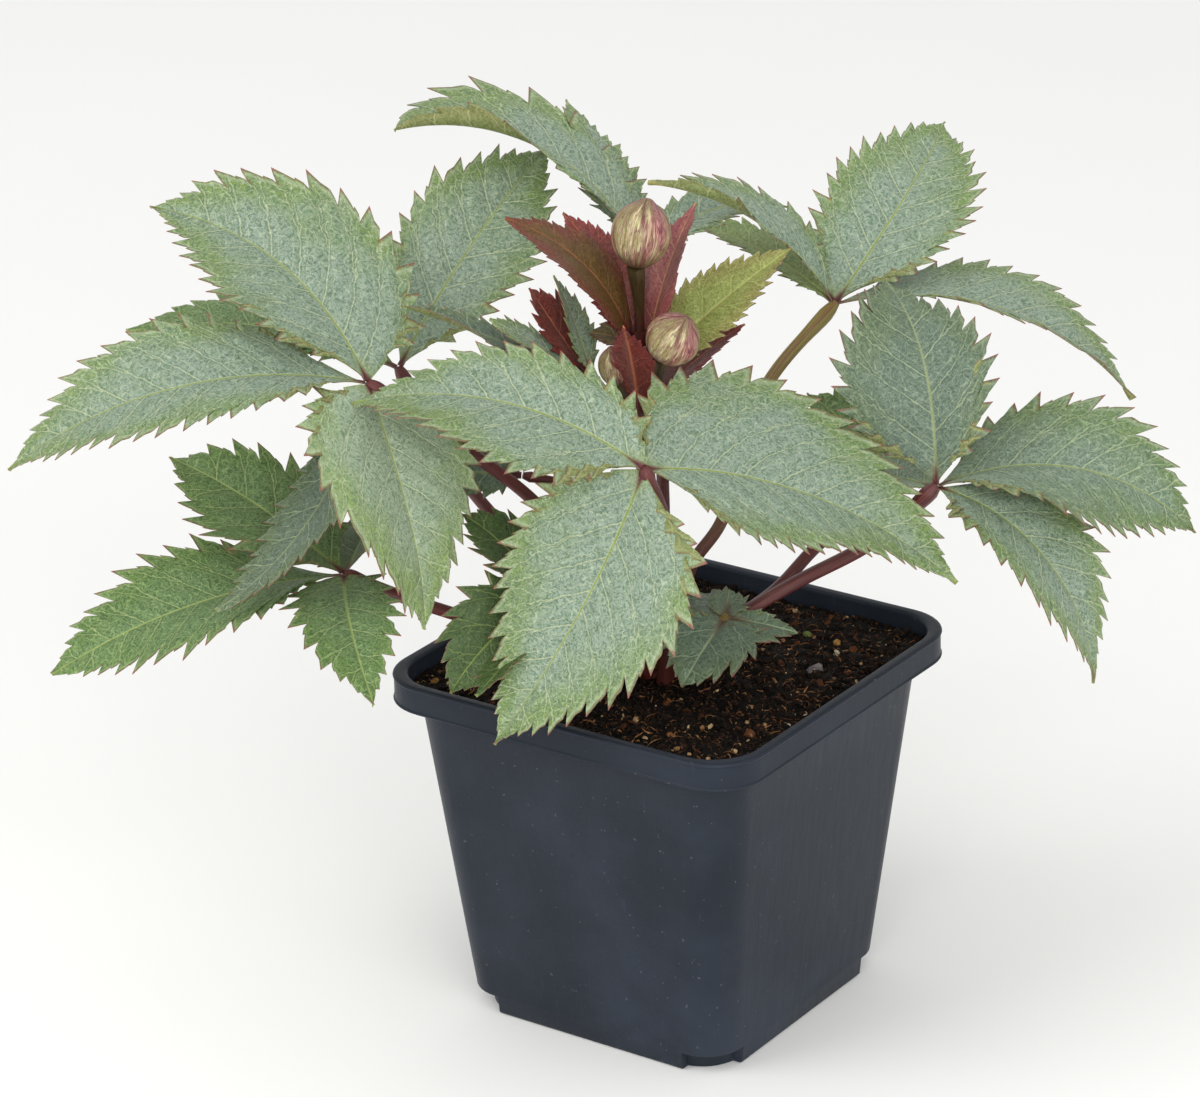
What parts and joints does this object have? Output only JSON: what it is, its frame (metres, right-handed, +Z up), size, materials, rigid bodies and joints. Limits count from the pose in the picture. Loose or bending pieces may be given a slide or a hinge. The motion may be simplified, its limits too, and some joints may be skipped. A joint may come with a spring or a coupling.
{
  "type": "potted hellebore plant",
  "caption": "Young hellebore with toothed grey-green leaves, red-flushed bracts and closed buds, in a tapered square nursery pot filled with potting mix.",
  "frame": {"origin": "centre of the pot's flat underside", "axes": "+Z up through the pot, +X and +Y along the pot's sides; the pictured front corner points to -Y and slightly to +X"},
  "size_m": [0.3049, 0.2826, 0.2701],
  "materials": {
    "pot": "matte, charcoal grey with a slight blue cast",
    "soil": "matte, damp bark and peat potting mix",
    "stalk": "satin, maroon and ribbed",
    "leaf": "waxy matte, grey-green with pale veins and reddish tooth tips",
    "bract": "satin, maroon to olive green",
    "bud": "satin, cream green with rose streaks"
  },
  "bodies": {
    "root": {"pot": "pot", "soil": "soil", "stem": "stalk", "stalk_front": "stalk", "stalk_left_upper": "stalk", "stalk_left_back": "stalk", "stalk_back": "stalk", "stalk_right_upper": "stalk", "stalk_right": "stalk", "stalk_right_back": "stalk", "stalk_left_lower": "stalk", "stalk_inner_front": "stalk", "stalk_soil_side": "stalk", "stalk_stem_leaf": "stalk", "leaflet_front_1": "leaf", "leaflet_front_2": "leaf", "leaflet_front_3": "leaf", "leaflet_left_upper_1": "leaf", "leaflet_left_upper_2": "leaf", "leaflet_left_upper_3": "leaf", "leaflet_left_upper_4": "leaf", "leaflet_left_back_1": "leaf", "leaflet_left_back_2": "leaf", "leaflet_back_1": "leaf", "leaflet_back_2": "leaf", "leaflet_back_3": "leaf", "leaflet_right_upper_1": "leaf", "leaflet_right_upper_2": "leaf", "leaflet_right_upper_3": "leaf", "leaflet_right_upper_4": "leaf", "leaflet_right_1": "leaf", "leaflet_right_2": "leaf", "leaflet_right_3": "leaf", "leaflet_right_4": "leaf", "leaflet_right_back_1": "leaf", "leaflet_left_lower_1": "leaf", "leaflet_left_lower_2": "leaf", "leaflet_left_lower_3": "leaf", "leaflet_left_lower_4": "leaf", "leaflet_inner_front_1": "leaf", "leaflet_inner_front_2": "leaf", "leaflet_soil_side_1": "leaf", "leaflet_soil_side_2": "leaf", "leaflet_soil_side_3": "leaf", "leaflet_stem_leaf_1": "leaf", "bract_1": "bract", "bract_2": "bract", "bract_3": "bract", "bract_4": "bract", "bract_5": "bract", "bract_6": "bract", "bract_7": "bract", "side_bract_1": "leaf", "side_bract_2": "leaf", "side_bract_3": "bract", "side_bract_4": "leaf", "bud_1": "bud", "bud_2": "bud", "bud_3": "bud"}
  },
  "joints": []
}
